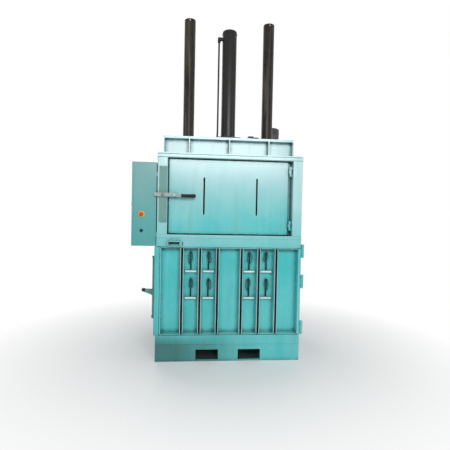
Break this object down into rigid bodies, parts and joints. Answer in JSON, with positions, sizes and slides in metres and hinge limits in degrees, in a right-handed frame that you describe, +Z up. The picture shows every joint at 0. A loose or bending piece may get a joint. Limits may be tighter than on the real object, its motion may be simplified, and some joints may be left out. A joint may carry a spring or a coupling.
{
  "type": "recycling baler",
  "caption": "Vertical recycling baler: welded box frame with fork pockets, two side-hinged front doors, strap slots, guided press platen, hydraulic cylinder and control box.",
  "frame": {"origin": "on the floor under the middle of the base", "axes": "+Z up, the doors face -Y, +X to the right seen from the front"},
  "size_m": [1.6473, 0.94, 3.405],
  "materials": {
    "teal_paint": "semi-gloss teal enamel on welded steel",
    "dull_green": "older, duller green enamel",
    "black_paint": "satin black enamel",
    "greased_steel": "dark greased steel tube",
    "bright_steel": "ground or zinc plated steel",
    "chrome_rod": "hard chromed rod",
    "bronze": "turned bronze",
    "motor_grey": "grey painted casting",
    "black_rubber": "moulded rubber grip",
    "stop_red": "red moulded plastic",
    "stop_yellow": "yellow moulded plastic",
    "black_plastic": "black moulded plastic",
    "gear_grey": "moulded switchgear"
  },
  "bodies": {
    "frame": {"base_frame": "teal_paint", "fork_pockets": "teal_paint", "chamber_floor": "teal_paint", "corner_posts": "teal_paint", "side_walls": "teal_paint", "side_ribs": "teal_paint", "rear_wall": "teal_paint", "rear_ribs": "teal_paint", "mid_beam": "teal_paint", "band_loop": "teal_paint", "upper_posts": "teal_paint", "top_band": "teal_paint", "roof_plate": "teal_paint", "head_beams": "teal_paint", "head_ribs": "teal_paint", "head_top_plate": "teal_paint", "cylinder_barrel": "black_paint", "cylinder_flange": "black_paint", "flange_bolts": "bright_steel", "bushes": "bronze", "hydraulic_pipes": "black_paint", "pipe_fittings": "bright_steel", "oil_tank": "teal_paint", "tank_lid": "teal_paint", "pump_motor": "motor_grey", "valve_block": "bright_steel", "lower_hinges_frame": "teal_paint", "lock_brackets": "teal_paint", "upper_hinges_frame": "teal_paint", "post_cover": "dull_green", "control_box": "teal_paint", "control_gear": "gear_grey", "button_collars": "stop_yellow"},
    "platen": {"platen_plate": "teal_paint", "platen_frame": "teal_paint", "guide_tubes": "greased_steel", "piston_rod": "chrome_rod", "piston": "bright_steel"},
    "lower_door": {"lower_door_frame": "teal_paint", "door_channels": "teal_paint", "lower_hinges_door": "teal_paint"},
    "lower_lock": {"lock_shaft": "teal_paint", "lock_lever": "teal_paint"},
    "upper_door": {"upper_door_panel": "teal_paint", "upper_hinges_door": "teal_paint", "latch_mount": "teal_paint"},
    "upper_latch": {"latch_arm": "bright_steel", "latch_grip": "black_rubber"},
    "box_door": {"control_door": "teal_paint"},
    "box_lock": {"control_lock": "bright_steel"},
    "stop_button": {"e_stop_button": "stop_red"},
    "start_button": {"push_button": "black_plastic"},
    "pin_1": {"strap_pin_1": "bright_steel"},
    "pin_2": {"strap_pin_2": "bright_steel"},
    "pin_3": {"strap_pin_3": "bright_steel"},
    "pin_4": {"strap_pin_4": "bright_steel"},
    "pin_5": {"strap_pin_5": "bright_steel"},
    "pin_6": {"strap_pin_6": "bright_steel"},
    "pin_7": {"strap_pin_7": "bright_steel"},
    "pin_8": {"strap_pin_8": "bright_steel"}
  },
  "joints": [
    {"name": "platen_slide", "type": "slide", "parent": "frame", "child": "platen", "axis": [0, 0, 1], "range_m": [-1.05, 0]},
    {"name": "lower_door_swing", "type": "hinge", "parent": "frame", "child": "lower_door", "pos_m": [0.705, -0.45, 0.66], "axis": [0, 0, 1], "range_deg": [0, 110]},
    {"name": "lower_lock_turn", "type": "hinge", "parent": "frame", "child": "lower_lock", "pos_m": [-0.724, -0.3, 0.68], "axis": [0, 0, 1], "range_deg": [0, 90]},
    {"name": "upper_door_swing", "type": "hinge", "parent": "frame", "child": "upper_door", "pos_m": [0.5775, -0.418, 1.56], "axis": [0, 0, 1], "range_deg": [0, 110]},
    {"name": "upper_latch_turn", "type": "hinge", "parent": "upper_door", "child": "upper_latch", "pos_m": [-0.532, -0.471, 1.57], "axis": [0, 1, 0], "range_deg": [0, 45]},
    {"name": "box_door_swing", "type": "hinge", "parent": "frame", "child": "box_door", "pos_m": [-0.911, 0.165, 1.48], "axis": [0, 0, -1], "range_deg": [0, 110]},
    {"name": "box_lock_turn", "type": "hinge", "parent": "box_door", "child": "box_lock", "pos_m": [-0.923, -0.4, 1.48], "axis": [-1, 0, 0], "range_deg": [0, 90]},
    {"name": "stop_press", "type": "slide", "parent": "frame", "child": "stop_button", "axis": [0, 1, 0], "range_m": [0, 0.006], "stiffness_N_per_m": 800},
    {"name": "start_press", "type": "slide", "parent": "frame", "child": "start_button", "axis": [0, 1, 0], "range_m": [0, 0.004], "stiffness_N_per_m": 500},
    {"name": "pin_1_swing", "type": "hinge", "parent": "lower_door", "child": "pin_1", "pos_m": [-0.3655, -0.379, 1.034], "axis": [-1, 0, 0], "range_deg": [0, 80]},
    {"name": "pin_2_swing", "type": "hinge", "parent": "lower_door", "child": "pin_2", "pos_m": [-0.1975, -0.379, 1.034], "axis": [-1, 0, 0], "range_deg": [0, 80]},
    {"name": "pin_3_swing", "type": "hinge", "parent": "lower_door", "child": "pin_3", "pos_m": [0.1975, -0.379, 1.034], "axis": [-1, 0, 0], "range_deg": [0, 80]},
    {"name": "pin_4_swing", "type": "hinge", "parent": "lower_door", "child": "pin_4", "pos_m": [0.3655, -0.379, 1.034], "axis": [-1, 0, 0], "range_deg": [0, 80]},
    {"name": "pin_5_swing", "type": "hinge", "parent": "lower_door", "child": "pin_5", "pos_m": [-0.3655, -0.379, 0.777], "axis": [-1, 0, 0], "range_deg": [0, 80]},
    {"name": "pin_6_swing", "type": "hinge", "parent": "lower_door", "child": "pin_6", "pos_m": [-0.1975, -0.379, 0.777], "axis": [-1, 0, 0], "range_deg": [0, 80]},
    {"name": "pin_7_swing", "type": "hinge", "parent": "lower_door", "child": "pin_7", "pos_m": [0.1975, -0.379, 0.777], "axis": [-1, 0, 0], "range_deg": [0, 80]},
    {"name": "pin_8_swing", "type": "hinge", "parent": "lower_door", "child": "pin_8", "pos_m": [0.3655, -0.379, 0.777], "axis": [-1, 0, 0], "range_deg": [0, 80]}
  ]
}
